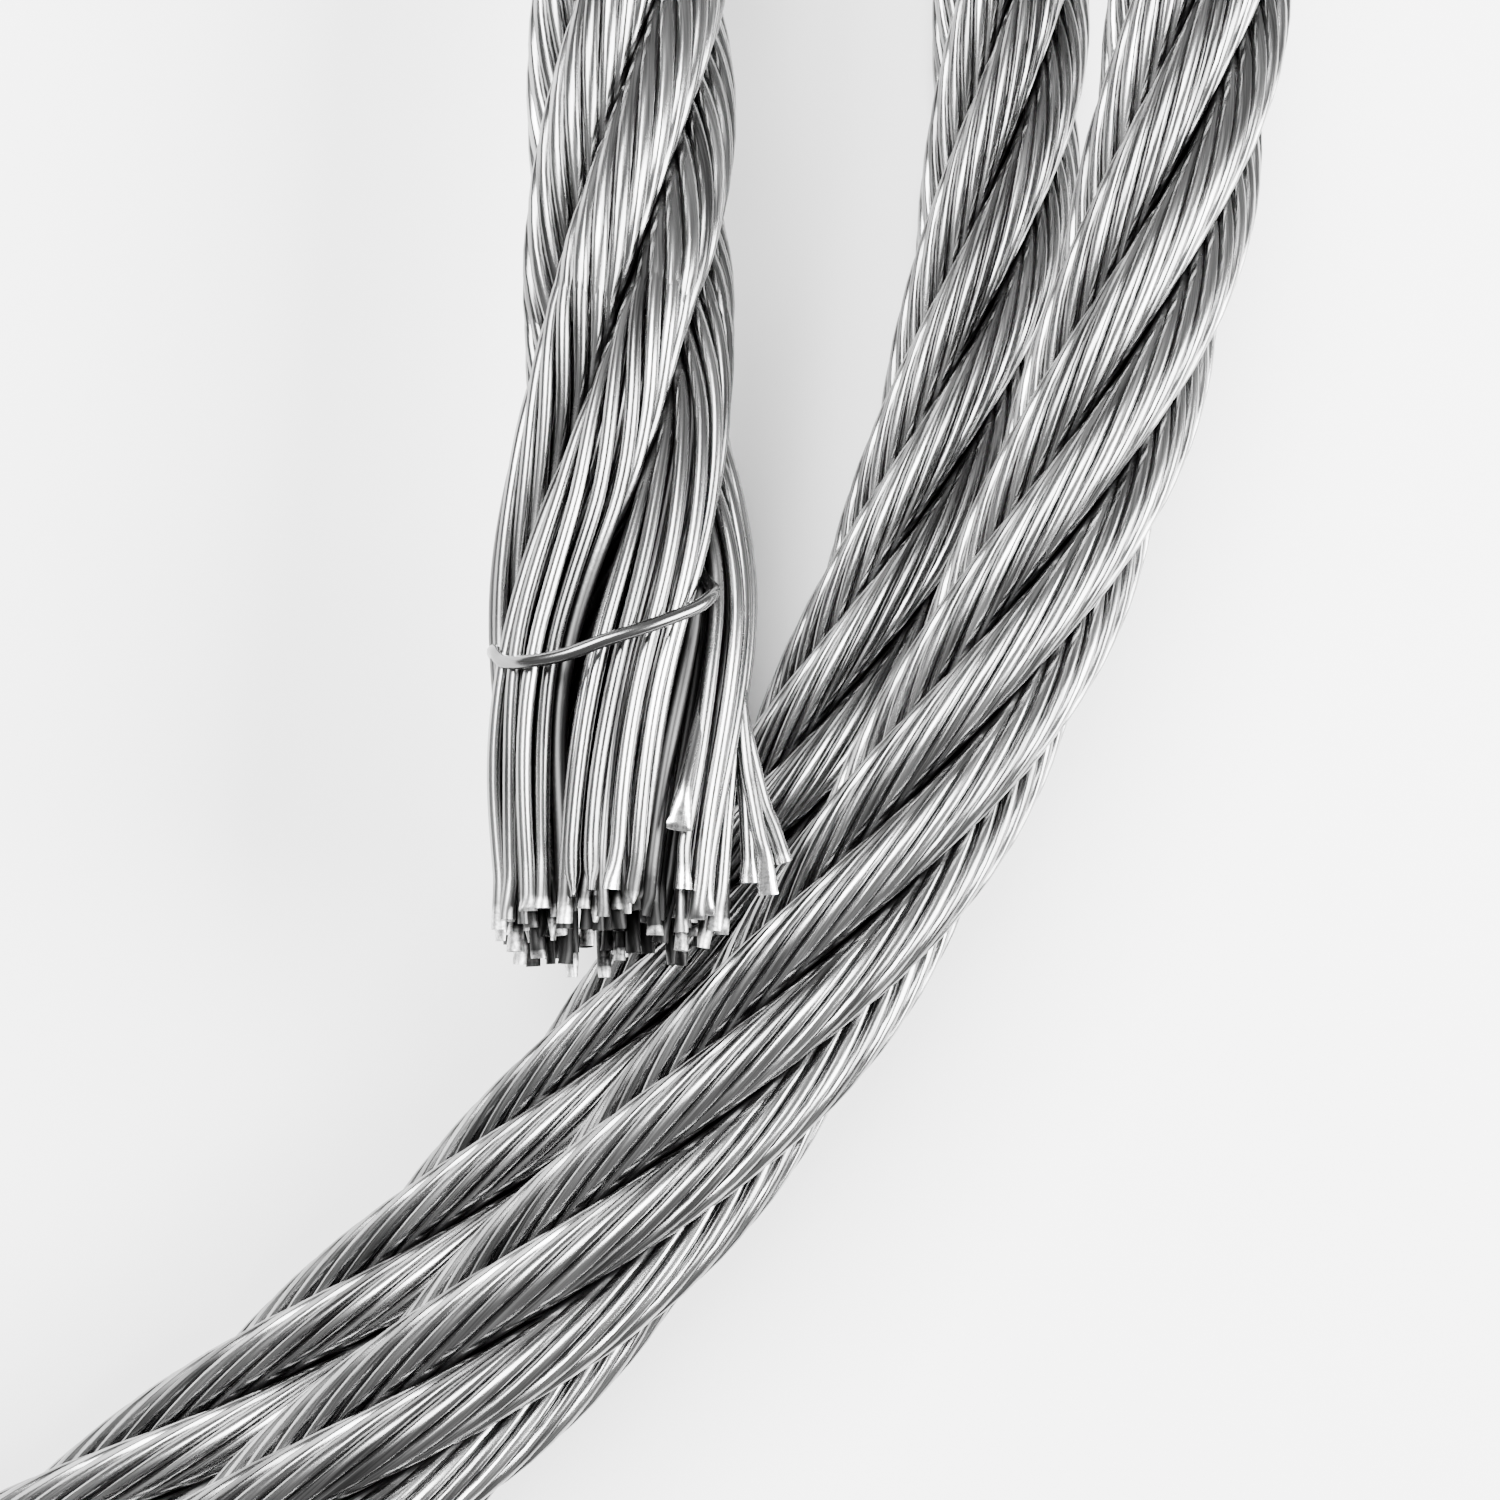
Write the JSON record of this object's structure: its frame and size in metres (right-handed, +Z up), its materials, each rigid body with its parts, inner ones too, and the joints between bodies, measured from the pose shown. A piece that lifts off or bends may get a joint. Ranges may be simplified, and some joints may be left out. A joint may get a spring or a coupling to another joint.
{
  "type": "coil of wire rope",
  "caption": "Coil of stranded steel wire rope lying flat, its turns stacked, with a free end that springs straight across the coil and ends in a rough cut held by a tie wire.",
  "frame": {"origin": "middle of the coil's outline, on the level floor that the coil lies on", "axes": "+Z up, out of the floor; -Y is the way that the free end points; +X is the side of the coil that the free end lies on"},
  "size_m": [0.3738, 0.3713, 0.0396],
  "materials": {
    "strand_steel": "bright drawn wire, lightly greased, grey in the grooves",
    "core_steel": "dull drawn wire with old grease",
    "tie_steel": "soft annealed binding wire"
  },
  "bodies": {
    "root": {"strand_1": "strand_steel", "strand_2": "strand_steel", "strand_3": "strand_steel", "strand_4": "strand_steel", "strand_5": "strand_steel", "strand_6": "strand_steel", "core": "core_steel", "tie_wire": "tie_steel"}
  },
  "joints": []
}
